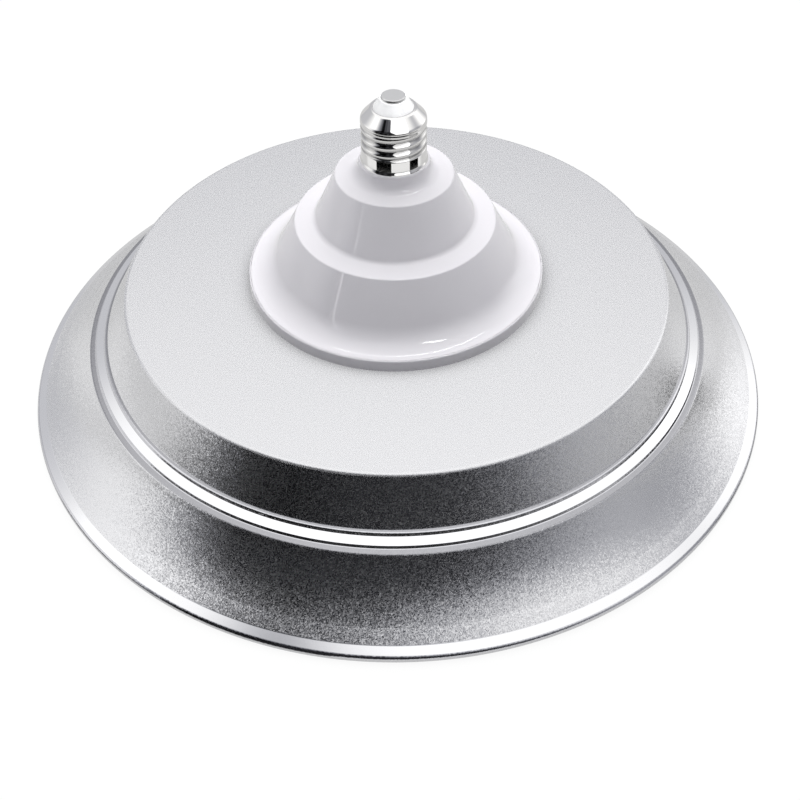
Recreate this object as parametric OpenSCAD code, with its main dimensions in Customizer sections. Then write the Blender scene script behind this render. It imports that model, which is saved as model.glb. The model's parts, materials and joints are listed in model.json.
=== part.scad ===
// Screw-in high bay lamp: aluminium shade, moulded driver housing and screw cap.
// The lamp stands on the rolled rim of its shade at z = 0, with the cap up.
// All sizes are in millimetres.

/* [Shade] */
// Outer diameter of the rolled rim
rim_d = 330; // [322:1:345]
// Diameter of the roll at the rim
rim_roll_d = 3.8; // [3.4:0.1:5]
// Width of the bright lip inside the roll
lip_w = 3.7; // [3:0.1:5]
// Slope of the lip below the horizontal
lip_slope = 26; // [20:1:30]
// Height of the skirt above the lip
skirt_h = 22.8; // [21:0.2:26]
// Width of the skirt, from its top to the lip
skirt_w = 23.8; // [21:0.1:27]
// Slope of the skirt at its top
skirt_top_slope = 56; // [50:1:62]
// Slope of the skirt where it meets the lip
skirt_foot_slope = 33; // [30:1:38]
// Radius of the skirt's flare
skirt_flare_r = 60; // [30:1:64]
// Width of the narrow shelf above the skirt
shelf_w = 2.9; // [2.2:0.1:4]
// Height that the shelf climbs
shelf_rise = 0.3; // [0.1:0.1:0.6]
// Height of the small riser between shelf and ledge
ledge_riser_h = 0.9; // [0.6:0.1:1.4]
// Width of the bright ledge
ledge_w = 3.2; // [2.8:0.1:4.5]
// Slope of the ledge below the horizontal
ledge_slope = 26; // [18:1:30]
// Height of the riser at the drum's foot
foot_riser_h = 1.2; // [0.8:0.1:1.8]
// Width of the small shoulder at the drum's foot
foot_w = 1.9; // [1.5:0.1:2.6]
// Height that this shoulder climbs
foot_rise = 0.5; // [0.2:0.1:0.9]
// Height of the tapered drum
drum_h = 18.5; // [17.5:0.1:22]
// Width by which the drum tapers
drum_taper_w = 10.6; // [8:0.1:14]
// Radius of the bend round the disc
disc_edge_r = 1.8; // [1.4:0.1:4]
// Thickness of the aluminium sheet
sheet_t = 1.2; // [0.8:0.1:1.4]
// Diameter of the lead hole in the disc
lead_hole_d = 14; // [12:0.5:16]

/* [Housing] */
// Width of the flange outside the circle of the assembly screws
flange_w = 15.65; // [14.8:0.05:18]
// Height of the flange's edge
flange_h = 5.1; // [4.6:0.1:6]
// Radius of the large blend from the flange into the lower cone
flange_blend_r = 13; // [8:0.5:16]
// Width of the flange's face outside the lower cone
flange_face_w = 8.75; // [7.5:0.05:10]
// Outer diameter of the lower step
lower_step_d = 84.2; // [83:0.1:88]
// Height of the lower step above the disc
lower_step_h = 29; // [27.5:0.1:32]
// Width of the lower step
lower_step_w = 8.5; // [7:0.1:9]
// Height that each step climbs towards the axis
step_rise = 1.3; // [0.6:0.1:1.8]
// Outer diameter of the upper step
upper_step_d = 48.4; // [47:0.1:52]
// Height of the upper step above the lower one
upper_step_h = 21.9; // [21:0.1:25]
// Radius of the small blend at the foot of the upper cone
step_blend_r = 2.6; // [1.5:0.1:4]
// Rounding of the steps' outer edges
edge_r = 0.9; // [0.4:0.1:1.2]
// Outer diameter of the collar that the cap stands on
collar_d = 28.8; // [28.4:0.1:31]
// Height of the collar above the upper step
collar_h = 6.9; // [6:0.1:9]
// Radius of the flare under the collar
collar_flare_r = 5; // [3:0.1:5.4]
// Wall thickness of the moulding
wall_t = 2.2; // [1.8:0.1:2.5]
// Width of the flange's underside round the cavity's mouth
flange_foot_w = 8.15; // [7.6:0.05:9]
// Bore through the neck
neck_bore_d = 18.6; // [17:0.1:20]
// Height of the neck above the collar
neck_h = 15.4; // [14:0.1:16]
// Thickness of the ribs between the bosses and the wall
rib_t = 1.8; // [1.2:0.1:2.4]
// Distance of the flange's seal from the flange's edge
seal_inset = 3.2; // [2.4:0.1:4]
// Width of the seal under the flange
flange_seal_w = 2.8; // [2:0.1:3]
// Thickness of the seal under the flange
flange_seal_t = 1.2; // [0.8:0.1:1.6]

/* [Screw cap] */
// Outer diameter over the thread's crests
cap_d = 26.3; // [26:0.05:26.6]
// Wall thickness of the shell
shell_t = 0.4; // [0.36:0.02:0.5]
// Height of the plain skirt below the thread
cap_skirt_h = 5.6; // [4.6:0.1:6.5]
// How far the skirt's lower edge flares out
skirt_lip_w = 0.5; // [0.3:0.1:0.7]
// Pitch of the round thread
thread_pitch = 3.62; // [3.4:0.02:3.8]
// Number of turns of the thread
thread_turns = 3.7; // [3.4:0.1:4]
// Depth of the thread from crest to root
thread_depth = 0.95; // [0.7:0.05:1.05]
// Height of the domed shoulder
dome_h = 3.5; // [3.3:0.1:5]
// Radius of the shoulder
dome_r = 2.9; // [2:0.1:2.9]
// Diameter of the opening in the crown
crown_d = 16.2; // [15:0.1:17]
// Height of the insulator above the crown
insulator_h = 4.8; // [4:0.1:6]
// Diameter of the insulator at its top
insulator_top_d = 10.8; // [10.2:0.1:12]
// Diameter of the centre contact
contact_d = 9.5; // [8:0.1:10]
// Thickness of the centre contact
contact_t = 1; // [0.8:0.1:1.4]
// Diameter of the contact's rivet
rivet_d = 3.2; // [2.6:0.1:4]

/* [LED board] */
// Gap between the LED board's edge and the edge of the disc
led_board_gap = 12.4; // [10:0.1:16]
// Thickness of the LED board
led_board_t = 1.6; // [1:0.1:2]
// Thickness of the thermal pad
pad_t = 0.4; // [0.3:0.1:0.8]
// Length of one LED
led_l = 3.5; // [2.8:0.1:5]
// Width of one LED
led_w = 2.8; // [2:0.1:3]
// Height of one LED
led_h = 0.7; // [0.5:0.1:1]
// Distance of the LED ring inside the assembly screws from their circle
led_inner_gap = 12; // [10:0.5:14]
// Distance of the first LED ring outside the assembly screws from their circle
led_outer_gap = 10; // [9:0.5:12]
// Distance between the rings outside it
led_ring_pitch = 12; // [10:0.5:13]
// Width left free at the LED board's edge
led_free_w = 9; // [6:0.5:12]
// Distance between two LEDs along their ring
led_gap = 15; // [12:0.5:18]
// Length of the wire terminal
terminal_l = 9; // [7:0.5:11]
// Width of the wire terminal
terminal_w = 8; // [6:0.5:10]
// Height of the wire terminal
terminal_h = 5.2; // [4.8:0.1:6]

/* [Cover] */
// Thickness of the opal cover
cover_t = 1.8; // [1.5:0.1:2.2]
// Width of the cover's flat rim
cover_rim_w = 10; // [8:0.1:12]
// Depth of the cover's side below its rim
cover_side_h = 6.2; // [5:0.1:7]
// How far the side draws in towards its foot
cover_side_draw = 3.2; // [2:0.1:5]
// Extra depth of the cover at its centre
cover_crown_h = 3.5; // [2:0.1:4]
// Gap round the cover's rim
cover_gap = 0.6; // [0.4:0.1:0.9]
// Thickness of the cover's seal at its outer edge
cover_seal_t = 0.9; // [0.7:0.1:1.5]
// Width of the cover's seal
cover_seal_w = 2.2; // [1.6:0.1:2.3]

/* [Driver] */
// Gap between the driver board and the housing's wall
driver_board_gap = 6.2; // [5.4:0.1:7]
// Gap between the driver board and the bosses
boss_notch_gap = 0.6; // [0.4:0.1:1]
// Thickness of the driver board
driver_board_t = 1.6; // [1:0.1:2]
// Height of the driver board's upper face above the disc
driver_board_h = 12.8; // [12:0.1:13.4]
// Distance of the posts from the driver board's edge
post_inset = 7; // [6:0.1:7.4]
// Diameter of the posts
post_d = 7; // [6:0.1:7.2]
// Diameter of the input capacitor
input_cap_d = 16; // [13:0.5:16]
// Height of the input capacitor
input_cap_h = 26; // [20:0.5:26.5]
// Diameter of the output capacitor
output_cap_d = 13; // [10:0.5:13]
// Height of the output capacitor
output_cap_h = 21; // [16:0.5:25]
// Diameter of the filter choke
choke_d = 10; // [8:0.5:11]
// Height of the filter choke
choke_h = 12; // [9:0.5:12.5]
// Diameter of the varistor
varistor_d = 10; // [7:0.5:11]
// Thickness of the varistor
varistor_t = 3.6; // [3:0.1:4.2]
// Diameter of the fuse
fuse_d = 4.4; // [3.6:0.1:5]
// Length of the fuse
fuse_l = 11; // [9:0.5:12]
// Width of the transformer's core
core_w = 22; // [20:0.5:22]
// Depth of the transformer's core
core_depth = 7; // [5:0.5:7]
// Height of the transformer's core
core_h = 20; // [18:0.5:20]
// Diameter of the insulated leads
lead_d = 1.8; // [1.2:0.1:2]

/* [Fasteners] */
// Radius at which the four assembly screws stand
boss_r = 48; // [47.6:0.1:48.4]
// Diameter of the bosses
boss_d = 9; // [8:0.1:9]
// Diameter of the assembly screws
screw_d = 3.9; // [3.4:0.1:4.2]
// Length of the assembly screws below the head
screw_len = 13; // [12:0.5:14]
// Head diameter of the assembly screws
screw_head_d = 7.4; // [7:0.1:8]
// Head height of the assembly screws
screw_head_h = 2.6; // [2:0.1:3]
// Thickness of the washers
washer_t = 0.8; // [0.5:0.1:1]
// Diameter of the driver screws
driver_screw_d = 2.9; // [2.5:0.1:3.1]
// Length of the driver screws below the head
driver_screw_len = 8; // [6:0.5:9]
// Head diameter of the driver screws
driver_screw_head_d = 5.4; // [5:0.1:6]
// Head height of the driver screws
driver_screw_head_h = 1.9; // [1.5:0.1:2.2]

/* [Hidden] */
$fn = 96;

fit = 0.05;        // clearance of what is pressed, screwed or riveted in
slip = 0.3;        // clearance of what passes freely
cut = 1;           // how far a cutting body runs past a face
arc_step = 14;     // largest turn of one facet of a rounded corner, in degrees
reach = 0.9;       // largest share of an edge that a rounding may take
draft = 0.2;       // taper of the small risers and of the flange's edge

// Rim and lip
rim_r = rim_d / 2;
roll_r = rim_roll_d / 2;
roll_at = [rim_r - roll_r, roll_r];
roll_end_angle = -170;
lip_end = roll_at + roll_r * [sin(lip_slope), cos(lip_slope)];
lip_start = lip_end + lip_w * [-1, tan(lip_slope)];

// Skirt, shelf, ledge and drum, from the lip upwards
skirt_top = [lip_start[0] - skirt_w, lip_start[1] + skirt_h];
shelf_in = skirt_top + [-shelf_w, shelf_rise];
ledge_out = shelf_in + [-draft, ledge_riser_h];
ledge_in = ledge_out + ledge_w * [-1, tan(ledge_slope)];
foot_out = ledge_in + [-draft, foot_riser_h];
foot_in = foot_out + [-foot_w, foot_rise];
disc_z = foot_in[1] + drum_h;
disc_r = foot_in[0] - drum_taper_w;
under_z = disc_z - sheet_t;
lead_hole_r = lead_hole_d / 2;

// Housing
flange_r = boss_r + flange_w;
lower_cone_r = flange_r - flange_face_w;
cavity_r = flange_r - flange_foot_w;
flange_top = disc_z + flange_h;
lower_step_r = lower_step_d / 2;
lower_step_z = disc_z + lower_step_h;
upper_step_r = upper_step_d / 2;
upper_step_z = lower_step_z + upper_step_h;
collar_r = collar_d / 2;
collar_z = upper_step_z + collar_h;
neck_bore_r = neck_bore_d / 2;
neck_top = collar_z + neck_h;
seal_groove_out = flange_r - seal_inset;
boss_angles = [45, 135, 225, 315];
post_angles = [90, 210, 330];

// Screw cap
cap_r = cap_d / 2;
thread_z = collar_z + cap_skirt_h;
dome_z = thread_z + thread_turns * thread_pitch;
crown_z = dome_z + dome_h;
crown_r = crown_d / 2;
insulator_top_z = crown_z + insulator_h;
insulator_flange_t = 1.6;
insulator_flange_w = 1.3;
insulator_flange_r = crown_r + insulator_flange_w;
insulator_foot_h = 0.2;      // straight part of the insulator above the crown
rivet_tail_l = 1.2;
rivet_end_z = crown_z - shell_t - insulator_flange_t - rivet_tail_l;
rivet_r = rivet_d / 2;
seat_r = cap_r - shell_t - fit;                       // neck under the plain skirt
spigot_r = cap_r - shell_t - thread_depth - draft;    // neck under the thread
seat_drop = 1;          // how far below the thread the neck starts to narrow
seat_step_h = 0.6;      // height over which it narrows
thread_columns = 40;
thread_rows_per_turn = 8;
thread_ramp = 1.4;      // height over which the thread grows from the plain wall
thread_lap = 0.3;       // how far the threaded wall runs into the plain ones

// LED board
grommet_flange_t = 1.2;
grommet_flange_w = 1.8;
grommet_flange_r = lead_hole_r + grommet_flange_w;
grommet_bore_r = 3;
board_hole_gap = 0.5;
board_hole_r = grommet_flange_r + board_hole_gap;
pad_z = under_z - pad_t;
led_board_z = pad_z - led_board_t;
led_board_r = disc_r - led_board_gap;
led_first_r = boss_r + led_outer_gap;
led_rings = floor((led_board_r - led_free_w - led_first_r) / led_ring_pitch);
washer_z = led_board_z - washer_t;
screw_hole_r = screw_d / 2 + slip;
terminal_x = 12.5;      // distance from the axis to the terminal's wire face
terminal_z = led_board_z - terminal_h;
terminal_hole_d = 2.2;
terminal_hole_depth = 0.8;

// Driver board
board_z = disc_z + driver_board_h;
board_under_z = board_z - driver_board_t;
board_screw_hole_r = driver_screw_d / 2 + slip;
transformer_at = [-13, -4];
input_cap_at = [11, -9];
output_cap_at = [9, 13];
choke_at = [25, 2];
film_cap_at = [-13, 17];
film_cap_size = [15, 7, 11];
varistor_at = [8, -27.5];
fuse_at = [-6, -24];
bridge_at = [20, -22];
bridge_size = [9, 6.5, 7];
chip_at = [-31, -3];
chip_size = [4, 5, 1.6];
transistor_at = [-31, 9];
transistor_size = [6.6, 6.1, 2.3];
diode_at = [24, 19];
diode_d = 5.2;
diode_l = 9.5;
core_leg = 4;             // thickness of the core's outer legs and backs
centre_leg = 5;
bobbin_wall = 0.9;
bobbin_base_h = 2;
lead_pitch = 2.6;         // distance between the two output leads
solder_r = cap_r - shell_t - thread_depth - fit;     // where the neutral lead ends at the shell
lead_rise = 11;           // height of the leads' first bend above the driver board
lead_top = 24;            // height at which they lean towards the neck

// Leads, as points that the lead passes through
upper_foot_r = lower_step_r - lower_step_w;
live_foot = upper_foot_r * [-0.536, -0.655];
live_lean = upper_foot_r * [-0.417, -0.476];
live_route = [
  [live_foot[0], live_foot[1], board_z], [live_foot[0], live_foot[1], board_z + lead_d],
  [live_foot[0], live_foot[1], board_z + lead_rise], [live_lean[0], live_lean[1], board_z + lead_top],
  [-5, -5, upper_step_z - 3], [-1.5, -1.5, collar_z], [0, 0, neck_top - 6], [0, 0, rivet_end_z - 2],
  [0, 0, rivet_end_z]
];
neutral_foot = upper_foot_r * [-0.119, 0.804];
neutral_lean = upper_foot_r * [-0.089, 0.595];
neutral_route = [
  [neutral_foot[0], neutral_foot[1], board_z], [neutral_foot[0], neutral_foot[1], board_z + lead_d],
  [neutral_foot[0], neutral_foot[1], board_z + lead_rise],
  [neutral_lean[0], neutral_lean[1], board_z + lead_top],
  [0, 6.5, upper_step_z - 2], [3, 3, collar_z + 2], [4, 1, neck_top - 4], [5.5, 0, neck_top + 1.6],
  [9, 0, neck_top + 2.4], [10.5, 0, neck_top + 2.4], [solder_r, 0, neck_top + 2.4]
];
lead_bend = 4;
terminal_wire_z = terminal_z + terminal_h / 2;

// Plain helpers

function xy(c) = [c[0], c[1]];
function unit(v) = v / norm(v);
function reversed(list) = [for (i = [len(list) - 1 : -1 : 0]) list[i]];
function part_of(list, first, last) = [for (i = [first : last]) list[i]];

// Where the line through p along u meets the line through q along v
function meet(p, u, q, v) = p + u * cross(q - p, v) / cross(u, v);

// A path is a list of corners [distance from the axis, height, rounding].
// Points of the rounding at corner b, between its neighbours a and c
function corner_arc(a, b, c) =
  let (
    u = unit(xy(b) - xy(a)),
    v = unit(xy(c) - xy(b)),
    turn = acos(u * v),
    room = reach * min(norm(xy(b) - xy(a)), norm(xy(c) - xy(b))),
    r = min(b[2], room / tan(turn / 2)),
    side = cross(u, v) > 0 ? 1 : -1,
    start = xy(b) - r * tan(turn / 2) * u,
    centre = start + side * r * [-u[1], u[0]],
    steps = max(2, ceil(turn / arc_step))
  )
  [for (k = [0 : steps]) centre + turned(start - centre, side * turn * k / steps)];

function turned(v, angle) = [v[0] * cos(angle) - v[1] * sin(angle), v[0] * sin(angle) + v[1] * cos(angle)];

// The path's points, with its corners rounded
function rounded(c) = [
  for (i = [0 : len(c) - 1])
    each (i == 0 || i == len(c) - 1 || c[i][2] == 0) ? [xy(c[i])] : corner_arc(c[i - 1], c[i], c[i + 1])
];

// The path moved sideways, to its right for a positive distance
function moved(c, distance) = [
  for (i = [0 : len(c) - 1])
    let (
      before = unit(xy(c[max(i, 1)]) - xy(c[max(i, 1) - 1])),
      after = unit(xy(c[min(i + 1, len(c) - 1)]) - xy(c[min(i, len(c) - 2)])),
      right_turn = cross(before, after) < 0 ? 1 : -1,
      normal = [before[1] + after[1], -before[0] - after[0]] / (1 + before * after)
    )
    [
      c[i][0] + distance * normal[0],
      c[i][1] + distance * normal[1],
      c[i][2] == 0 ? 0 : max(0, c[i][2] - distance * right_turn)
    ]
];

// Height of the line between two corners at a given distance from the axis
function height_at(a, b, r) = a[1] + (b[1] - a[1]) * (r - a[0]) / (b[0] - a[0]);

// Distance from the axis of the line between two corners at a given height
function radius_at(a, b, z) = a[0] + (b[0] - a[0]) * (z - a[1]) / (b[1] - a[1]);

// A smooth line through points, with n steps between two of them
function spline(p, n) = [
  for (i = [0 : len(p) - 2], k = [0 : n - 1])
    let (a = p[max(i - 1, 0)], b = p[i], c = p[i + 1], d = p[min(i + 2, len(p) - 1)], t = k / n)
    0.5 * (2 * b + (c - a) * t + (2 * a - 5 * b + 4 * c - d) * t * t + (3 * b - a - 3 * c + d) * t * t * t),
  p[len(p) - 1]
];

module spin(points) {
  rotate_extrude() polygon(points);
}

// A sheet of even thickness, spun round the axis, on the right of its path
module spun_sheet(corners, thickness) {
  spin(concat(rounded(corners), reversed(rounded(moved(corners, thickness)))));
}

// A round tube of eight sides along a line of points
module tube(line, diameter) {
  sides = 8;
  last = len(line) - 1;
  ring_points = [
    for (i = [0 : last])
      let (
        along = unit(line[min(i + 1, last)] - line[max(i - 1, 0)]),
        across = unit(cross(along, [0, 1, 0])),
        up = cross(along, across)
      )
      for (k = [0 : sides - 1])
        line[i] + diameter / 2 * (cos(k * 360 / sides) * across + sin(k * 360 / sides) * up)
  ];
  side_faces = [
    for (i = [0 : last - 1], k = [0 : sides - 1])
      let (a = i * sides + k, b = i * sides + (k + 1) % sides)
      each [[a, a + sides, b + sides], [a, b + sides, b]]
  ];
  start_face = [for (k = [0 : sides - 1]) k];
  end_face = [for (k = [sides - 1 : -1 : 0]) last * sides + k];
  polyhedron(ring_points, concat(side_faces, [start_face, end_face]));
}

module around(angles, radius) {
  for (a = angles) rotate([0, 0, a]) translate([radius, 0, 0]) children();
}

// A block that stands on its lower face, centred on the other two axes
module block(size) {
  translate([-size[0] / 2, -size[1] / 2, 0]) cube(size);
}

// A pan-head screw that points up, with the underside of its head at z = 0
module pan_screw(diameter, length, head_d, head_h) {
  r = diameter / 2;
  tip = 0.45 * diameter;
  difference() {
    spin(concat(
      rounded([[0, -head_h, 0], [head_d / 2, -head_h, 0.6 * head_h], [head_d / 2, 0, 0]]),
      [[r, 0], [r, length - tip], [0.35 * r, length], [0, length]]
    ));
    for (a = [0, 90]) rotate([0, 0, a]) translate([0, 0, -head_h - cut])
      block([0.55 * head_d, 0.13 * head_d, cut + 0.5 * head_h]);
  }
}

// Shade

shade_corners = [
  [lead_hole_r, disc_z, 0],
  [disc_r, disc_z, disc_edge_r],
  [foot_in[0], foot_in[1], 0.8],
  [foot_out[0], foot_out[1], 0.9],
  [ledge_in[0], ledge_in[1], 0.25],
  [ledge_out[0], ledge_out[1], 0.5],
  [shelf_in[0], shelf_in[1], 0.3],
  [skirt_top[0], skirt_top[1], 1.6],
  flare_corner(),
  [lip_start[0], lip_start[1], 0.6],
  [lip_end[0], lip_end[1], 0]
];
shade_inner_corners = moved(shade_corners, sheet_t);

function flare_corner() =
  let (
    top_way = [cos(skirt_top_slope), -sin(skirt_top_slope)],
    foot_way = [cos(skirt_foot_slope), -sin(skirt_foot_slope)],
    p = meet(skirt_top, top_way, lip_start, foot_way)
  )
  [p[0], p[1], skirt_flare_r];

// The roll, from the lip round the outside to its hidden end
function roll_points(radius) =
  let (first = 10 * floor((88 - lip_slope) / 10))
  [for (a = [first : -10 : roll_end_angle]) roll_at + radius * [cos(a), sin(a)]];

module shade() {
  color([0.83, 0.83, 0.84]) difference() {
    spin(concat(
      rounded(shade_corners), roll_points(roll_r),
      reversed(roll_points(roll_r - sheet_t)), reversed(rounded(shade_inner_corners))
    ));
    around(boss_angles, boss_r) translate([0, 0, under_z - cut])
      cylinder(r = screw_hole_r, h = sheet_t + 2 * cut);
  }
}

// Driver housing

housing_corners = [
  [flange_r, disc_z, 0],
  [flange_r - draft / 2, flange_top, 0.7],
  [lower_cone_r, flange_top, flange_blend_r],
  [lower_step_r, lower_step_z, edge_r],
  [lower_step_r - lower_step_w, lower_step_z + step_rise, step_blend_r],
  [upper_step_r, upper_step_z, edge_r],
  [collar_r + 2 * draft, upper_step_z + step_rise, collar_flare_r],
  [collar_r, collar_z, edge_r],
  [seat_r, collar_z, 0],
  [seat_r, thread_z - seat_drop, 0],
  [spigot_r, thread_z - seat_drop + seat_step_h, 0],
  [spigot_r, neck_top, 0.5],
  [neck_bore_r - cut, neck_top, 0]
];
cavity_corners = moved(part_of(housing_corners, 1, 6), -wall_t);
driver_board_r = radius_at(cavity_corners[1], cavity_corners[2], board_z) - driver_board_gap;
post_r = driver_board_r - post_inset;

module housing_outside() {
  spin(concat([[0, disc_z]], rounded(housing_corners), [[0, neck_top]]));
}

module housing_cavity() {
  mouth = [[0, disc_z - cut], [cavity_corners[0][0], disc_z - cut]];
  intersection() {
    spin(concat(mouth, rounded(cavity_corners), [[0, cavity_corners[5][1]]]));
    translate([0, 0, disc_z - cut]) cylinder(r = cavity_r, h = neck_top - disc_z);
  }
}

module screw_bosses() {
  around(boss_angles, boss_r) translate([0, 0, disc_z]) {
    cylinder(d = boss_d, h = lower_step_h);
    translate([0, -rib_t / 2, 0]) cube([cavity_r - boss_r + cut, rib_t, flange_h + rib_t]);
  }
}

module board_posts() {
  around(post_angles, post_r) translate([0, 0, board_z])
    cylinder(d = post_d, h = upper_step_z - board_z);
}

module driver_housing() {
  color([0.95, 0.95, 0.96]) difference() {
    housing_outside();
    difference() {
      housing_cavity();
      screw_bosses();
      board_posts();
    }
    translate([0, 0, upper_step_z - wall_t - cut]) cylinder(r = neck_bore_r, h = neck_top);
    around(boss_angles, boss_r) translate([0, 0, disc_z - cut])
      cylinder(r = screw_d / 2 + fit, h = washer_z + screw_len - disc_z + 2 * cut);
    around(post_angles, post_r) translate([0, 0, board_z - cut])
      cylinder(r = driver_screw_d / 2 + fit, h = driver_screw_len - driver_board_t + 2 * cut);
    flange_groove(fit, cut);
  }
}

// The ring-shaped space of the seal, wider and deeper by the given clearances
module flange_groove(side_gap, below) {
  inner = seal_groove_out - flange_seal_w;
  spin([
    [inner - side_gap, disc_z - below], [seal_groove_out + side_gap, disc_z - below],
    [seal_groove_out + side_gap, disc_z + flange_seal_t], [inner - side_gap, disc_z + flange_seal_t]
  ]);
}

module flange_seal() {
  color([0.75, 0.75, 0.76]) flange_groove(0, 0);
}

// Screw cap

// Distance from the axis to the outside of the threaded wall
function thread_r(z, angle) =
  let (
    grown = max(0, min(1, (z - thread_z) / thread_ramp, (dome_z - z) / thread_ramp)),
    wave = 0.5 - 0.5 * cos(360 * (z - thread_z) / thread_pitch - angle)
  )
  cap_r - shell_t / 8 - thread_depth * grown * wave;

module threaded_wall() {
  n = thread_columns;
  rows = ceil(thread_turns * thread_rows_per_turn);
  low = thread_z - thread_lap;
  high = dome_z + thread_lap;
  grid = [
    for (wall = [0, 0.75 * shell_t], i = [0 : rows], k = [0 : n - 1])
      let (z = low + (high - low) * i / rows, a = 360 * k / n, r = thread_r(z, a) - wall)
      [r * cos(a), r * sin(a), z]
  ];
  inner = (rows + 1) * n;
  walls = [
    for (i = [0 : rows - 1], k = [0 : n - 1])
      let (a = i * n + k, b = i * n + (k + 1) % n)
      each [
        [a, a + n, b + n], [a, b + n, b],
        [inner + a, inner + b + n, inner + a + n], [inner + a, inner + b, inner + b + n]
      ]
  ];
  ends = [
    for (k = [0 : n - 1])
      let (a = k, b = (k + 1) % n, top = rows * n)
      each [[a, b, inner + b, inner + a], [top + a, inner + top + a, inner + top + b, top + b]]
  ];
  polyhedron(grid, concat(walls, ends));
}

module screw_shell() {
  lip_r = cap_r + skirt_lip_w;
  lip_foot_h = 0.3;
  lip_h = 1.2;
  skirt = [
    [lip_r, collar_z, 0], [lip_r, collar_z + lip_foot_h, 0.3], [cap_r, collar_z + lip_h, 0.8],
    [cap_r, thread_z, 0]
  ];
  dome = [[cap_r, dome_z, 0], [cap_r, crown_z, dome_r], [crown_r, crown_z, 0]];
  color([0.8, 0.8, 0.82]) union() {
    spun_sheet(skirt, -shell_t);
    threaded_wall();
    spun_sheet(dome, -shell_t);
  }
}

module contact_insulator() {
  under = crown_z - shell_t;
  outline = [
    [rivet_r + fit, under - insulator_flange_t, 0],
    [insulator_flange_r, under - insulator_flange_t, 0.4],
    [insulator_flange_r, under, 0],
    [crown_r - fit, under, 0],
    [crown_r - fit, crown_z + insulator_foot_h, 0.3],
    [insulator_top_d / 2, insulator_top_z, 0.5],
    [rivet_r + fit, insulator_top_z, 0]
  ];
  color([0.97, 0.97, 0.97]) spin(rounded(outline));
}

module contact_button() {
  outline = [
    [0, rivet_end_z, 0],
    [rivet_r, rivet_end_z, 0.3],
    [rivet_r, insulator_top_z, 0],
    [contact_d / 2, insulator_top_z, 0],
    [contact_d / 2, insulator_top_z + contact_t, 0.5],
    [0, insulator_top_z + contact_t, 0]
  ];
  color([0.75, 0.75, 0.76]) spin(rounded(outline));
}

// Screws, washers and grommet

module assembly_screws() {
  color([0.7, 0.7, 0.72]) around(boss_angles, boss_r) translate([0, 0, washer_z])
    pan_screw(screw_d, screw_len, screw_head_d, screw_head_h);
}

module screw_washers() {
  washer_rim_w = 0.5;
  color([0.85, 0.83, 0.75]) around(boss_angles, boss_r) translate([0, 0, washer_z]) difference() {
    cylinder(d = screw_head_d + 2 * washer_rim_w, h = washer_t);
    translate([0, 0, -cut]) cylinder(r = screw_d / 2 + fit, h = washer_t + 2 * cut);
  }
}

module wire_grommet() {
  waist = lead_hole_r - fit;
  low = under_z - grommet_flange_t;
  high = disc_z + grommet_flange_t;
  color([0.15, 0.15, 0.16]) spin(rounded([
    [grommet_bore_r, low, 0], [grommet_flange_r, low, 0.4], [grommet_flange_r, under_z, 0],
    [waist, under_z, 0], [waist, disc_z, 0], [grommet_flange_r, disc_z, 0],
    [grommet_flange_r, high, 0.4], [grommet_bore_r, high, 0]
  ]));
}

// LED board

module drilled_disc(radius, low, thickness) {
  difference() {
    translate([0, 0, low]) cylinder(r = radius, h = thickness);
    translate([0, 0, low - cut]) {
      cylinder(r = board_hole_r, h = thickness + 2 * cut);
      around(boss_angles, boss_r) cylinder(r = screw_hole_r, h = thickness + 2 * cut);
    }
  }
}

module thermal_pad() {
  pad_inset = 1;
  color([0.55, 0.6, 0.65]) drilled_disc(led_board_r - pad_inset, pad_z, pad_t);
}

module led_board() {
  color([0.97, 0.97, 0.95]) drilled_disc(led_board_r, led_board_z, led_board_t);
}

module led_ring(radius) {
  count = round(2 * PI * radius / led_gap);
  around([for (k = [0 : count - 1]) 360 * k / count], radius) translate([0, 0, led_board_z - led_h])
    block([led_w, led_l, led_h]);
}

module led_chips() {
  color([0.98, 0.86, 0.35]) {
    led_ring(boss_r - led_inner_gap);
    for (i = [0 : led_rings]) led_ring(led_first_r + i * led_ring_pitch);
  }
}

module wire_terminal() {
  color([0.95, 0.95, 0.93]) difference() {
    translate([terminal_x, -terminal_w / 2, terminal_z]) cube([terminal_l, terminal_w, terminal_h]);
    for (side = [-1, 1])
      translate([terminal_x + 0.55 * terminal_l, side * 0.65 * lead_pitch, terminal_z - cut])
        cylinder(d = terminal_hole_d, h = cut + terminal_hole_depth);
  }
}

// Cover

ledge_under_in = shade_inner_corners[4];
ledge_under_out = shade_inner_corners[5];
cover_r = ledge_under_out[0] - cover_gap;
seal_out_r = cover_r - draft;
seal_in_r = seal_out_r - cover_seal_w;
cover_rim_z = height_at(ledge_under_in, ledge_under_out, seal_out_r) - cover_seal_t;
cover_side_r = cover_r - cover_rim_w;
cover_foot = [cover_side_r - cover_side_draw, cover_rim_z - cover_t - cover_side_h];

module diffuser_cover() {
  low = cover_foot[1] - cover_crown_h;
  flat_r = 0.62 * cover_foot[0];
  crown_bend_r = 600;
  outside = [
    [0, low, 0], [flat_r, low, crown_bend_r], [cover_foot[0], cover_foot[1], 5],
    [cover_side_r, cover_rim_z - cover_t, 1.5], [cover_r, cover_rim_z - cover_t, 0]
  ];
  color([0.97, 0.97, 0.96, 0.85]) spun_sheet(outside, -cover_t);
}

module cover_seal() {
  color([0.92, 0.92, 0.92]) spin([
    [seal_in_r, cover_rim_z], [seal_out_r, cover_rim_z],
    [seal_out_r, height_at(ledge_under_in, ledge_under_out, seal_out_r)],
    [seal_in_r, height_at(ledge_under_in, ledge_under_out, seal_in_r)]
  ]);
}

// Driver board and what stands on it

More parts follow.
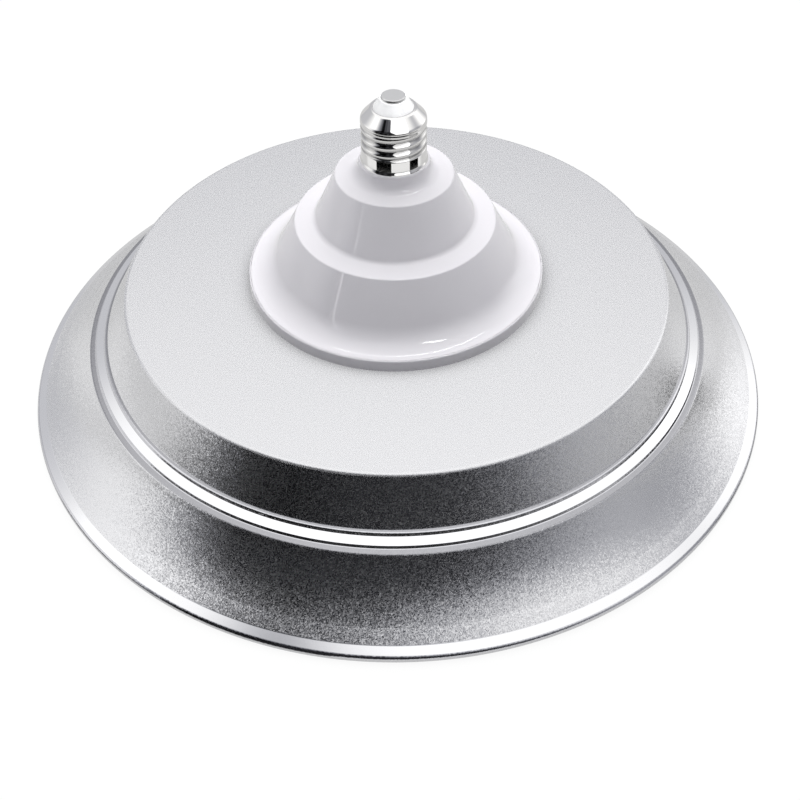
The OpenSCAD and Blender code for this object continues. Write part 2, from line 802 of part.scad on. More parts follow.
module driver_board() {
  color([0.1, 0.4, 0.2]) difference() {
    translate([0, 0, board_under_z]) cylinder(r = driver_board_r, h = driver_board_t);
    around(post_angles, post_r) translate([0, 0, board_under_z - cut])
      cylinder(r = board_screw_hole_r, h = driver_board_t + 2 * cut);
    around(boss_angles, boss_r) translate([0, 0, board_under_z - cut])
      cylinder(r = boss_d / 2 + boss_notch_gap, h = driver_board_t + 2 * cut);
  }
}

module driver_screws() {
  color([0.7, 0.7, 0.72]) around(post_angles, post_r) translate([0, 0, board_under_z])
    pan_screw(driver_screw_d, driver_screw_len, driver_screw_head_d, driver_screw_head_h);
}

module on_board(at) {
  translate([at[0], at[1], board_z]) children();
}

// A can with a crimped groove near its foot and a scored top
module can(diameter, height) {
  r = diameter / 2;
  crimp_z = 2.6;
  crimp_h = 1.6;
  crimp_depth = 0.7;
  score_w = 0.5;
  score_depth = 0.2;
  difference() {
    spin(rounded([
      [0, 0, 0], [r, 0, 0.6], [r, crimp_z - crimp_h / 2, 0], [r - crimp_depth, crimp_z, 0.6],
      [r, crimp_z + crimp_h / 2, 0], [r, height, 1], [0, height, 0]
    ]));
    for (a = [0, 60, 120]) rotate([0, 0, a]) translate([0, 0, height - score_depth])
      block([1.3 * r, score_w, cut]);
  }
}

module input_capacitor() {
  color([0.12, 0.14, 0.2]) on_board(input_cap_at) can(input_cap_d, input_cap_h);
}

module output_capacitor() {
  color([0.12, 0.14, 0.2]) on_board(output_cap_at) can(output_cap_d, output_cap_h);
}

window_h = core_h - 2 * core_leg;
core_low = bobbin_base_h;

module transformer_core() {
  window_w = (core_w - 2 * core_leg - centre_leg) / 2;
  color([0.25, 0.25, 0.27]) on_board(transformer_at) translate([0, 0, core_low]) difference() {
    block([core_w, core_depth, core_h]);
    for (side = [-1, 1])
      translate([side * (centre_leg + window_w) / 2, 0, core_leg])
        block([window_w, core_depth + 2 * cut, window_h]);
  }
}

hub_w = centre_leg + 2 * bobbin_wall;
hub_depth = core_depth + 2 * bobbin_wall;
bobbin_flange_t = 0.8;
bobbin_flange_w = core_w - 2 * core_leg - 2 * fit;
winding_build = 4.5;
bobbin_flange_depth = core_depth + 2 * winding_build;
bobbin_low = core_low + core_leg + fit;
bobbin_high = core_low + core_leg + window_h - fit;

module transformer_bobbin() {
  foot_depth = (bobbin_flange_depth - core_depth) / 2 - fit;
  color([0.2, 0.2, 0.22]) on_board(transformer_at) difference() {
    union() {
      block([bobbin_flange_w + 2, bobbin_flange_depth, bobbin_base_h]);
      for (side = [-1, 1])
        translate([0, side * (bobbin_flange_depth - foot_depth) / 2, 0])
          block([bobbin_flange_w - 1, foot_depth, bobbin_low + bobbin_flange_t / 2]);
      translate([0, 0, bobbin_low]) block([bobbin_flange_w, bobbin_flange_depth, bobbin_flange_t]);
      translate([0, 0, bobbin_low]) block([hub_w, hub_depth, bobbin_high - bobbin_low]);
      translate([0, 0, bobbin_high - bobbin_flange_t])
        block([bobbin_flange_w, bobbin_flange_depth, bobbin_flange_t]);
    }
    translate([0, 0, bobbin_low - cut])
      block([centre_leg + 2 * fit, core_depth + 2 * fit, window_h + 2 * cut]);
  }
}

module transformer_winding() {
  low = bobbin_low + bobbin_flange_t + fit;
  height = bobbin_high - bobbin_low - 2 * bobbin_flange_t - 2 * fit;
  color([0.8, 0.6, 0.15]) on_board(transformer_at) translate([0, 0, low]) difference() {
    block([bobbin_flange_w - 1, bobbin_flange_depth - 1, height]);
    translate([0, 0, -cut]) block([hub_w + 2 * fit, hub_depth + 2 * fit, height + 2 * cut]);
  }
}

// A drum core with its winding and two flanges
module filter_choke() {
  r = choke_d / 2;
  flange_t = 1.6;
  winding_r = r - 0.7;
  color([0.3, 0.3, 0.32]) on_board(choke_at) spin([
    [0, 0], [r, 0], [r, flange_t], [winding_r, flange_t], [winding_r, choke_h - flange_t],
    [r, choke_h - flange_t], [r, choke_h], [0, choke_h]
  ]);
}

module film_capacitor() {
  color([0.85, 0.65, 0.1]) on_board(film_cap_at) block(film_cap_size);
}

// A block with a notch that marks one of its ends
module bridge_rectifier() {
  notch_w = 1.2;
  color([0.12, 0.12, 0.13]) on_board(bridge_at) difference() {
    block(bridge_size);
    translate([bridge_size[0] / 2, 0, bridge_size[2] / 2]) rotate([0, 45, 0])
      block([notch_w, bridge_size[1] + 2 * cut, notch_w]);
  }
}

module varistor() {
  color([0.15, 0.3, 0.6]) on_board(varistor_at) translate([0, 0, varistor_d / 2])
    rotate([90, 0, 0]) cylinder(d = varistor_d, h = varistor_t, center = true);
}

module fuse() {
  cap_l = 2.2;
  cap_t = 0.3;
  color([0.85, 0.85, 0.82]) on_board(fuse_at) translate([0, 0, fuse_d / 2]) rotate([0, 90, 0]) {
    cylinder(d = fuse_d - 2 * cap_t, h = fuse_l, center = true);
    for (side = [-1, 1]) translate([0, 0, side * (fuse_l - cap_l) / 2])
      cylinder(d = fuse_d, h = cap_l, center = true);
  }
}

module control_chip() {
  color([0.1, 0.1, 0.11]) on_board(chip_at) block(chip_size);
}

module power_transistor() {
  tab_l = 1;
  tab_t = 0.5;
  color([0.14, 0.14, 0.15]) on_board(transistor_at) {
    block(transistor_size);
    translate([0, transistor_size[1] / 2 + tab_l / 2, 0]) block([0.8 * transistor_size[0], tab_l, tab_t]);
  }
}

module output_diode() {
  color([0.1, 0.1, 0.11]) on_board(diode_at) translate([0, 0, diode_d / 2])
    rotate([0, 90, 0]) cylinder(d = diode_d, h = diode_l, center = true);
}

// Leads

module live_lead() {
  color([0.6, 0.1, 0.1]) tube(spline(live_route, 4), lead_d);
}

module neutral_lead() {
  color([0.1, 0.2, 0.6]) tube(spline(neutral_route, 4), lead_d);
}

// A lead from the driver board down through the grommet to the terminal
module output_lead(side) {
  y = side * lead_pitch / 2;
  bend_z = terminal_wire_z + lead_bend;
  bend = [
    for (a = [0 : 15 : 90]) [lead_bend * (1 - cos(a)), y, bend_z - lead_bend * sin(a)]
  ];
  tube(concat([[0, y, board_under_z], [0, y, disc_z]], bend, [[terminal_x, y, terminal_wire_z]]), lead_d);
}

module positive_lead() {
  color([0.75, 0.1, 0.1]) output_lead(1);
}

module negative_lead() {
  color([0.1, 0.1, 0.1]) output_lead(-1);
}

shade();
driver_housing();
screw_shell();
contact_insulator();
contact_button();
flange_seal();
assembly_screws();
screw_washers();
wire_grommet();
thermal_pad();
led_board();
led_chips();
wire_terminal();
diffuser_cover();
cover_seal();
driver_board();
driver_screws();
input_capacitor();
output_capacitor();
transformer_core();
transformer_bobbin();
transformer_winding();
filter_choke();
film_capacitor();
bridge_rectifier();
varistor();
fuse();
control_chip();
power_transistor();
output_diode();
live_lead();
neutral_lead();
positive_lead();
negative_lead();
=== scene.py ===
import json
import math
import bpy
import bmesh
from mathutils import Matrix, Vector

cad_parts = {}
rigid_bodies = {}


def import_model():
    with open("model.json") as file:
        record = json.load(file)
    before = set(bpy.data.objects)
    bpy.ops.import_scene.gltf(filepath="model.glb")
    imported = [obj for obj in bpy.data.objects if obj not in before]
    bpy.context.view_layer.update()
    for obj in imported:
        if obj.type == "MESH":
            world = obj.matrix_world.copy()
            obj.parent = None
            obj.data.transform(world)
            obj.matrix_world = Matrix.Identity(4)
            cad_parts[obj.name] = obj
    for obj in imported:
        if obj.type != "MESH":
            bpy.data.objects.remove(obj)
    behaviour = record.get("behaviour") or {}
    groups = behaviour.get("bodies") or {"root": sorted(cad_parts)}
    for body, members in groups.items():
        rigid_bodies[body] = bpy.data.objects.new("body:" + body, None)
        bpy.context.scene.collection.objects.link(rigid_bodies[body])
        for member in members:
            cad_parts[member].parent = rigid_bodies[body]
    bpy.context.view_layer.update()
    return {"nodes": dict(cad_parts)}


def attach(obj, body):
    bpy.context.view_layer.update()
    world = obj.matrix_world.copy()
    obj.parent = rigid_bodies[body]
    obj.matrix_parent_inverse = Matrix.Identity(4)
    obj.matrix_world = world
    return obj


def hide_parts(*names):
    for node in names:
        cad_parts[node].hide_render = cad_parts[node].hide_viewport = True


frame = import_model()
print("frame loaded")

mm = 0.001  # the sizes below are in millimetres, as on a drawing

# Camera, as the photo was taken: place in mm, turn in degrees
cameraSettings = {
    "place": (4.8, -376.5, 354.3),
    "turn": (44.411, 0.572, 0.0),
    "lens": 49.31,
    "sensor": 36.0,
}

cameraData = bpy.data.cameras.new("mainCamera")
cameraData.lens = cameraSettings["lens"]
cameraData.sensor_width = cameraSettings["sensor"]
cameraData.clip_start = 0.01
camera = bpy.data.objects.new("mainCamera", cameraData)
camera.location = Vector(cameraSettings["place"]) * mm
camera.rotation_euler = [math.radians(a) for a in cameraSettings["turn"]]
bpy.context.scene.collection.objects.link(camera)
bpy.context.scene.camera = camera
bpy.context.scene.view_settings.view_transform = "Standard"
print("camera set")


# Materials

def toLinear(hexColour):
    channels = [int(hexColour[i:i + 2], 16) / 255 for i in (1, 3, 5)]
    return [c / 12.92 if c <= 0.04045 else ((c + 0.055) / 1.055) ** 2.4 for c in channels] + [1.0]


# Adds a node with its settings and links. Where a source is a node, its first output is meant
def addNode(tree, kind, settings=None, links=None):
    node = tree.nodes.new(kind)
    for key, value in (settings or {}).items():
        if isinstance(key, int) or key in node.inputs:
            node.inputs[key].default_value = value
        else:
            setattr(node, key, value)
    for key, source in (links or {}).items():
        socket = source.outputs[0] if isinstance(source, bpy.types.Node) else source
        tree.links.new(socket, node.inputs[key])
    return node


def startMaterial(name, colour, roughness, metallic=0.0):
    material = bpy.data.materials.new(name)
    material.use_nodes = True
    tree = material.node_tree
    shader = tree.nodes["Principled BSDF"]
    shader.inputs["Base Color"].default_value = toLinear(colour)
    shader.inputs["Roughness"].default_value = roughness
    shader.inputs["Metallic"].default_value = metallic
    spot = addNode(tree, "ShaderNodeTexCoord").outputs["Object"]
    return material, tree, shader, spot


# A bump from noise whose grain is a real size in millimetres
def addGrain(tree, shader, spot, size, depth, strength):
    noise = addNode(tree, "ShaderNodeTexNoise", {"Scale": 1 / (size * mm), "Detail": 2.0}, {"Vector": spot})
    bump = addNode(tree, "ShaderNodeBump", {"Strength": strength, "Distance": depth * mm},
                   {"Height": noise.outputs["Fac"]})
    tree.links.new(bump.outputs["Normal"], shader.inputs["Normal"])


# Tiny facets, each leaning its own way and a little rougher or smoother than the next, as blasting
# leaves them. The real ones are about 0.1 mm wide, too fine to show from here, so they are drawn
# coarser
def addBlasting(tree, shader, spot, size, lean, roughness, tone):
    cells = addNode(tree, "ShaderNodeTexVoronoi", {"Scale": 1 / (size * mm)}, {"Vector": spot})
    middled = addNode(tree, "ShaderNodeVectorMath", {
        "operation": "MULTIPLY_ADD", 1: (2, 2, 2), 2: (-1, -1, -1)}, {0: cells.outputs["Color"]})
    scaled = addNode(tree, "ShaderNodeVectorMath", {"operation": "SCALE", "Scale": lean}, {0: middled})
    straight = addNode(tree, "ShaderNodeNewGeometry").outputs["Normal"]
    leaning = addNode(tree, "ShaderNodeVectorMath", {"operation": "ADD"}, {0: scaled, 1: straight})
    unitLong = addNode(tree, "ShaderNodeVectorMath", {"operation": "NORMALIZE"}, {0: leaning})
    tree.links.new(unitLong.outputs[0], shader.inputs["Normal"])
    draw = addNode(tree, "ShaderNodeSeparateColor", {}, {"Color": cells.outputs["Color"]})
    rough = addNode(tree, "ShaderNodeMapRange", {"To Min": roughness[0], "To Max": roughness[1]},
                    {"Value": draw.outputs["Red"]})
    tree.links.new(rough.outputs[0], shader.inputs["Roughness"])
    base = list(shader.inputs["Base Color"].default_value)[:3]
    darker = [c * (1 - tone) for c in base] + [1]
    lighter = [min(1, c * (1 + tone)) for c in base] + [1]
    toned = addNode(tree, "ShaderNodeMix", {"data_type": "RGBA", 6: darker, 7: lighter},
                    {0: draw.outputs["Green"]})
    tree.links.new(toned.outputs[2], shader.inputs["Base Color"])


# Painted shade: the colour is made darker where another surface stands close by, as in a corner: reach in
# mm, the open share at which it starts and ends, and the darkest tone
def paintedCloseShade(tree, shader, reach, ends, darkest, local=False):
    seenSky = addNode(tree, "ShaderNodeAmbientOcclusion", {"only_local": local, "Distance": reach * mm})
    tone = addNode(tree, "ShaderNodeMapRange", {
        "From Min": ends[0], "From Max": ends[1], "To Min": darkest}, {"Value": seenSky.outputs["AO"]})
    socket = shader.inputs["Base Color"]
    toned = addNode(tree, "ShaderNodeVectorMath", {"operation": "SCALE", 0: socket.default_value[:3]},
                    {"Scale": tone})
    if socket.links:
        tree.links.new(socket.links[0].from_socket, toned.inputs[0])
    tree.links.new(toned.outputs[0], socket)


# Shade: spun aluminium, glass-bead blasted before clear anodising, which leaves a fine
# sparkling grain with no direction
def blastedAluminium():
    material, tree, shader, spot = startMaterial("blasted anodised aluminium", "#E2E2E4", 0.25, 1.0)
    addBlasting(tree, shader, spot, 0.36, 0.075, (0.15, 0.38), 0.035)
    return material


# The disc was blasted last and finer and has a clear oxide coat, which scatters part of the light,
# so it looks calmer than the skirt and stays pale from every side
def fineBlastedAluminium():
    material, tree, shader, spot = startMaterial("finely blasted aluminium disc", "#DEDEE0", 0.28, 0.76)
    addBlasting(tree, shader, spot, 0.4, 0.03, (0.2, 0.34), 0.025)
    # painted shadow: the disc's colour darkens within 14 mm of the housing's flange
    paintedCloseShade(tree, shader, 14.0, (0.35, 0.95), 0.5)
    return material


# The narrow bands above and below the ledge came out of the press tool satin, and their colour is a darker
# grey as painted shade, so they frame the bright ledge
def shadedSatinBand():
    material, tree, shader, spot = startMaterial("satin aluminium band", "#A9A9AD", 0.3, 1.0)
    addBlasting(tree, shader, spot, 0.4, 0.04, (0.2, 0.36), 0.04)
    return material


# The two steep risers beside the ledge and the bend of the roll were drawn smooth by the press,
# so they mirror the dark front as thin sharp lines
def drawnAluminium():
    material, tree, shader, spot = startMaterial("smooth drawn aluminium", "#D0D0D4", 0.14, 1.0)
    addBlasting(tree, shader, spot, 0.4, 0.04, (0.1, 0.2), 0.05)
    return material


# The roller burnished the lip and the ledge, so they mirror the room as clean bright bands
def burnishedAluminium():
    material, tree, shader, spot = startMaterial("burnished aluminium edge", "#F0F0F2", 0.16, 1.0)
    addGrain(tree, shader, spot, 2.5, 0.01, 0.3)
    return material


# Housing: injection-moulded polycarbonate out of a polished mould, so its faintly cool white has
# a high gloss and very soft waves
def mouldedPolycarbonate():
    material, tree, shader, spot = startMaterial("white moulded polycarbonate", "#E0DEE2", 0.06)
    addGrain(tree, shader, spot, 9.0, 0.02, 0.1)
    return material


# Cap: brass shell with bright nickel plating, a clear mirror whose colour is darkened in the valleys of the
# thread as painted shade
def nickelPlating():
    material, tree, shader, spot = startMaterial("bright nickel plating", "#ECEBEA", 0.05, 1.0)
    addGrain(tree, shader, spot, 1.6, 0.01, 0.2)
    # painted shade in the valleys of the thread
    paintedCloseShade(tree, shader, 2.4, (0.68, 0.98), 0.15, True)
    return material


# Contact: tinned brass, scuffed dull by the sockets it sat in, so it stays an even grey
def satinContact():
    material, tree, shader, spot = startMaterial("tinned contact", "#DEDEDE", 0.34, 1.0)
    addGrain(tree, shader, spot, 0.6, 0.02, 0.3)
    return material


# Insulator: pressed white resin, with a soft shine and a faint grain
def whiteInsulator():
    material, tree, shader, spot = startMaterial("white moulded insulator", "#FAFAFA", 0.2)
    addGrain(tree, shader, spot, 1.2, 0.02, 0.25)
    return material


# Cover: milky acrylic with a satin face, which hides the LEDs
def opalAcrylic():
    material, tree, shader, spot = startMaterial("opal acrylic", "#F2F2EE", 0.32)
    addGrain(tree, shader, spot, 3.0, 0.01, 0.2)
    return material


# Inner parts: the colour and shine of each one's stuff, with a grain of its own size in mm
def plainFinish(name, colour, roughness, metallic, size):
    material, tree, shader, spot = startMaterial(name, colour, roughness, metallic)
    addGrain(tree, shader, spot, size, 0.02, 0.4)
    return material


finishes = {
    "blasted": blastedAluminium(),
    "fineBlasted": fineBlastedAluminium(),
    "burnished": burnishedAluminium(),
    "riser": drawnAluminium(),
    "band": shadedSatinBand(),
    "housing": mouldedPolycarbonate(),
    "nickel": nickelPlating(),
    "contact": satinContact(),
    "insulator": whiteInsulator(),
    "opal": opalAcrylic(),
}
print("main finishes made")


# A drawn path is a list of corners: distance from the axis, height, rounding radius
def cornerPoint(corner):
    return Vector(corner[:2])


# The same corners, moved sideways to the right of the path
def movedCorners(corners, distance):
    points = [cornerPoint(corner) for corner in corners]
    last, moved = len(corners) - 1, []
    for i, corner in enumerate(corners):
        before = (points[max(i, 1)] - points[max(i, 1) - 1]).normalized()
        after = (points[min(i + 1, last)] - points[min(i, last - 1)]).normalized()
        side = 1 if before.cross(after) < 0 else -1
        both = before + after
        step = Vector((both.y, -both.x)) / (1 + before.dot(after))
        rounding = max(0.05, corner[2] - distance * side) if corner[2] else 0
        moved.append((corner[0] + distance * step.x, corner[1] + distance * step.y, rounding))
    return moved


def extendTo(bm, vert, point):
    if vert is None:
        return bm.verts.new((point.x, 0, point.y))
    new = bmesh.ops.extrude_vert_indiv(bm, verts=[vert])["verts"][0]
    new.co = (point.x, 0, point.y)
    return new


# Draws the path in the XZ plane, each rounded corner as a true arc spun round its centre. A vertex
# just before and after each arc keeps the smooth shading to the arc
def drawPath(bm, corners, arcStep, guard=0.25):
    first = vert = None
    for i, corner in enumerate(corners):
        here = cornerPoint(corner)
        if i in (0, len(corners) - 1) or not corner[2]:
            vert = extendTo(bm, vert, here)
            first = first or vert
            continue
        inward = here - cornerPoint(corners[i - 1])
        outward = cornerPoint(corners[i + 1]) - here
        turn = inward.angle(outward)
        room = 0.9 * min(inward.length, outward.length)
        radius = min(corner[2], room / math.tan(turn / 2))
        u, v = inward.normalized(), outward.normalized()
        side = 1 if u.cross(v) > 0 else -1
        reach = radius * math.tan(turn / 2)
        start = here - u * reach
        centre = start + Vector((-u.y, u.x)) * side * radius
        if inward.length - reach > 3 * guard:
            vert = extendTo(bm, vert, start - u * guard)
            first = first or vert
        vert = extendTo(bm, vert, start)
        steps = max(2, math.ceil(math.degrees(turn) / arcStep))
        spun = bmesh.ops.spin(bm, geom=[vert], cent=(centre.x, 0, centre.y), axis=(0, -1, 0),
                              angle=side * turn, steps=steps)
        vert = [g for g in spun["geom_last"] if isinstance(g, bmesh.types.BMVert)][0]
        if outward.length - reach > 3 * guard:
            vert = extendTo(bm, vert, here + v * (reach + guard))
    return first, vert


sharpAngle = 35  # degrees between two faces from which their edge is drawn sharp


def finishPiece(name, bm, materials, nodes):
    bmesh.ops.scale(bm, vec=(mm, mm, mm), verts=bm.verts)
    mesh = bpy.data.meshes.new(name)
    bm.to_mesh(mesh)
    bm.free()
    for material in materials:
        mesh.materials.append(material)
    mesh.shade_smooth()
    mesh.set_sharp_from_angle(angle=math.radians(sharpAngle))
    piece = bpy.data.objects.new(name, mesh)
    bpy.context.scene.collection.objects.link(piece)
    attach(piece, "root")
    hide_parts(*nodes)
    print("made", name, len(mesh.polygons), "faces")
    return piece


# Spins a closed path round the axis of the lamp and turns its faces outward
def spinClosed(bm, corners, segments, arcStep=9.0):
    first, last = drawPath(bm, corners, arcStep)
    if (first.co - last.co).length > 1e-6:
        bm.edges.new((last, first))
    bmesh.ops.spin(bm, geom=list(bm.verts) + list(bm.edges), cent=(0, 0, 0), axis=(0, 0, 1),
                   angle=2 * math.pi, steps=segments, use_merge=True)
    bmesh.ops.remove_doubles(bm, verts=bm.verts, dist=1e-4)
    bmesh.ops.recalc_face_normals(bm, faces=bm.faces)
    if bm.calc_volume(signed=True) < 0:
        bmesh.ops.reverse_faces(bm, faces=bm.faces)
    bm.normal_update()


# Shade
shadeSettings = {
    "rimRadius": 165.0, "rollRadius": 2.05, "lipWidth": 3.2, "lipSlope": 26.0,
    "skirtHeight": 22.8, "skirtTopRadius": 136.43, "skirtTopSlope": 56.0, "skirtFootSlope": 33.0,
    "flareRadius": 60.0, "shelfWidth": 2.4, "shelfRise": 0.5, "ledgeRiser": 1.0, "ledgeWidth": 3.6,
    "ledgeSlope": 17.0, "footRiser": 1.1, "footWidth": 1.4, "footRise": 0.5, "discHeight": 51.17,
    "discRadius": 117.43, "discEdge": 1.8, "sheet": 1.2, "holeRadius": 7.0, "draft": 0.45,
    "footRounding": (0.8, 0.7), "ledgeRounding": (0.2, 0.3), "shelfRounding": (0.2, 1.6),
    "lipRounding": 0.6, "rollEnd": 170.0, "rollCorners": 3, "bandMargin": 0.2, "riserMargin": 0.9,
    "segments": 288,
}


def slopeDown(angle):
    return Vector((math.cos(math.radians(angle)), -math.sin(math.radians(angle))))


def crossing(p, u, q, v):
    return p + u * ((q - p).cross(v) / u.cross(v))


def shadeCorners(s):
    roll = Vector((s["rimRadius"] - s["rollRadius"], s["rollRadius"]))
    lip = math.radians(s["lipSlope"])
    lipEnd = roll + s["rollRadius"] * Vector((math.sin(lip), math.cos(lip)))
    lipStart = lipEnd + s["lipWidth"] * Vector((-1, math.tan(lip)))
    skirtTop = Vector((s["skirtTopRadius"], lipStart.y + s["skirtHeight"]))
    shelfIn = skirtTop + Vector((-s["shelfWidth"], s["shelfRise"]))
    ledgeOut = shelfIn + Vector((-s["draft"], s["ledgeRiser"]))
    ledgeIn = ledgeOut + s["ledgeWidth"] * Vector((-1, math.tan(math.radians(s["ledgeSlope"]))))
    footOut = ledgeIn + Vector((-s["draft"], s["footRiser"]))
    footIn = footOut + Vector((-s["footWidth"], s["footRise"]))
    discZ = s["discHeight"]
    flare = crossing(skirtTop, slopeDown(s["skirtTopSlope"]), lipStart, slopeDown(s["skirtFootSlope"]))
    corners = [
        (s["holeRadius"], discZ, 0), (s["discRadius"], discZ, s["discEdge"]),
        (*footIn, s["footRounding"][0]), (*footOut, s["footRounding"][1]),
        (*ledgeIn, s["ledgeRounding"][0]), (*ledgeOut, s["ledgeRounding"][1]),
        (*shelfIn, s["shelfRounding"][0]), (*skirtTop, s["shelfRounding"][1]),
        (*flare, s["flareRadius"]), (*lipStart, s["lipRounding"]),
    ]
    # the roll: rounded corners round its centre, then its hidden end
    turnEach = (90 - s["lipSlope"] + s["rollEnd"]) / s["rollCorners"]
    far = s["rollRadius"] / math.cos(math.radians(turnEach / 2))
    for k in range(s["rollCorners"]):
        angle = math.radians(90 - s["lipSlope"] - turnEach * (k + 0.5))
        corners.append((roll.x + far * math.cos(angle), roll.y + far * math.sin(angle), s["rollRadius"]))
    end = math.radians(-s["rollEnd"])
    corners.append((roll.x + s["rollRadius"] * math.cos(end), roll.y + s["rollRadius"] * math.sin(end), 0))
    marks = {"disc": discZ, "ledgeIn": ledgeIn, "ledgeOut": ledgeOut, "lipStart": lipStart, "lipEnd": lipEnd,
             "footIn": footIn.x, "skirtTop": skirtTop.x}
    return corners, marks


# The metals follow the sheet from the disc outward: each band's finish goes on by its radius
def makeShade(s):
    corners, marks = shadeCorners(s)
    loop = corners + list(reversed(movedCorners(corners, s["sheet"])))
    bm = bmesh.new()
    spinClosed(bm, loop, s["segments"])
    ledge = (marks["ledgeIn"].x + s["bandMargin"], marks["ledgeOut"].x - s["bandMargin"])
    risers = (marks["ledgeIn"].x - s["riserMargin"], marks["ledgeOut"].x + s["riserMargin"])
    lip = (marks["lipStart"].x - s["bandMargin"], marks["lipEnd"].x)
    for face in bm.faces:
        centre = face.calc_center_median()
        radius = Vector((centre.x, centre.y)).length
        onTop = face.normal.z > 0.3
        if onTop and (ledge[0] < radius < ledge[1] or lip[0] < radius < lip[1]):
            face.material_index = 1
        elif onTop and radius > lip[1]:
            face.material_index = 3
        elif face.normal.z > 0.5 and centre.z > marks["disc"] - s["discEdge"]:
            face.material_index = 2
        elif face.normal.z > -0.2 and risers[0] < radius < risers[1]:
            face.material_index = 3
        # the foot and shelf bands get the darker grey of painted shade
        elif onTop and marks["footIn"] < radius < marks["skirtTop"]:
            face.material_index = 4
    metals = [finishes[kind] for kind in ("blasted", "burnished", "fineBlasted", "riser", "band")]
    return finishPiece("shadeSheet", bm, metals, ["shade"]), marks["disc"]


shade, discZ = makeShade(shadeSettings)

# Housing
housingSettings = {
    "flangeRadius": 63.65, "flangeHeight": 5.1, "coneFootRadius": 54.9, "bigBlend": 13.0,
    "lowerStepRadius": 42.1, "lowerStepHeight": 29.0, "lowerStepWidth": 8.5, "stepRise": 1.3,
    "smallBlend": 2.6, "upperStepRadius": 24.2, "upperStepHeight": 21.9, "collarRadius": 14.4,
    "collarHeight": 6.9, "collarFlare": 5.0, "edge": 0.9, "seatRadius": 12.7, "seatHeight": 4.6,
    "spigotRadius": 11.6, "neckHeight": 15.4, "bore": 9.3, "wall": 2.2, "draft": 0.2,
    "flangeEdge": 0.7, "spigotChamfer": 0.6, "arcStep": 6.0, "segments": 192,
}


def housingCorners(s, discZ):
    flangeTop = discZ + s["flangeHeight"]
    lowZ = discZ + s["lowerStepHeight"]
    highZ = lowZ + s["upperStepHeight"]
    collarZ = highZ + s["collarHeight"]
    neckTop = collarZ + s["neckHeight"]
    outer = [
        (s["flangeRadius"], discZ, 0), (s["flangeRadius"] - s["draft"] / 2, flangeTop, s["flangeEdge"]),
        (s["coneFootRadius"], flangeTop, s["bigBlend"]), (s["lowerStepRadius"], lowZ, s["edge"]),
        (s["lowerStepRadius"] - s["lowerStepWidth"], lowZ + s["stepRise"], s["smallBlend"]),
        (s["upperStepRadius"], highZ, s["edge"]),
        (s["collarRadius"] + 2 * s["draft"], highZ + s["stepRise"], s["collarFlare"]),
        (s["collarRadius"], collarZ, s["edge"]),
    ]
    neck = [
        (s["seatRadius"], collarZ, 0), (s["seatRadius"], collarZ + s["seatHeight"], 0),
        (s["spigotRadius"], collarZ + s["seatHeight"] + s["spigotChamfer"], 0),
        (s["spigotRadius"], neckTop, 0),
        (s["bore"], neckTop, 0), (s["bore"], highZ - s["wall"], 0),
    ]
    cavity = movedCorners(outer[1:7], -s["wall"])
    inner = list(reversed(cavity[1:5])) + [(cavity[1][0], discZ, 0)]
    return outer + neck + inner, collarZ


def makeHousing(s, discZ):
    corners, collarZ = housingCorners(s, discZ)
    bm = bmesh.new()
    spinClosed(bm, corners, s["segments"], s["arcStep"])
    piece = finishPiece("housingShell", bm, [finishes["housing"]], ["driver_housing"])
    return piece, collarZ


housing, collarZ = makeHousing(housingSettings, discZ)

# Screw cap
capSettings = {
    "radius": 13.15, "wall": 0.4, "skirt": 5.6, "lip": 0.5, "lipHeight": 0.3, "lipRounding": 0.3,
    "lipFlare": 1.2, "flareRounding": 0.8, "pitch": 3.62, "turns": 3.1, "depth": 0.95, "ramp": 1.4,
    "guard": 0.3, "dome": 5.67, "domeRise": 1.1, "domeFoot": 3.6, "domeTop": 1.0, "ring": 0.7, "crown": 8.1,
    "insulatorHeight": 4.2, "insulatorTop": 5.4, "insulatorFlange": 9.4, "flangeThickness": 1.6,
    "flangeRounding": 0.4, "insulatorFoot": 0.2, "footRounding": 0.3, "topRounding": 0.5, "clearance": 0.05,
    "contactRadius": 4.75, "contactThickness": 1.0, "contactRounding": 0.5, "rivet": 1.6,
    "rivetTail": 1.2, "rivetRounding": 0.3, "segments": 144, "smallSegments": 96, "threadRows": 120,
}


# The shell is spun plain, then the helix is pressed into inner and outer face alike, so its wall
# stays a thin sheet all along the thread
def makeShell(s, collarZ):
    threadZ = collarZ + s["skirt"]
    domeZ = threadZ + s["turns"] * s["pitch"]
    crownZ = domeZ + s["dome"]
    r, w = s["radius"], s["wall"]
    rows = [(r, threadZ + (domeZ - threadZ) * k / s["threadRows"], 0) for k in range(s["threadRows"] + 1)]
    outer = [
        (r + s["lip"], collarZ, 0), (r + s["lip"], collarZ + s["lipHeight"], s["lipRounding"]),
        (r, collarZ + s["lipFlare"], s["flareRounding"]), (r, threadZ - s["guard"], 0),
    ] + rows
    dome = [(r, domeZ + s["domeRise"], s["domeFoot"]), (s["crown"] + s["ring"], crownZ, s["domeTop"]),
            (s["crown"], crownZ, 0)]
    inner = [(x - w, z, q) for x, z, q in outer] + movedCorners(outer[-1:] + dome, w)[1:]
    outer += dome
    bm = bmesh.new()
    spinClosed(bm, outer + list(reversed(inner)), s["segments"])
    for vert in bm.verts:
        z, radius = vert.co.z, Vector((vert.co.x, vert.co.y)).length
        grown = max(0.0, min(1.0, (z - threadZ) / s["ramp"], (domeZ - z) / s["ramp"]))
        grown = grown * grown * (3 - 2 * grown)
        angle = math.atan2(vert.co.y, vert.co.x)
        wave = 0.5 - 0.5 * math.cos(2 * math.pi * (z - threadZ) / s["pitch"] - angle)
        squeeze = 1 - s["depth"] * grown * wave / radius
        vert.co.x *= squeeze
        vert.co.y *= squeeze
    piece = finishPiece("screwShell", bm, [finishes["nickel"]], ["screw_shell"])
    return piece, crownZ


shell, crownZ = makeShell(capSettings, collarZ)


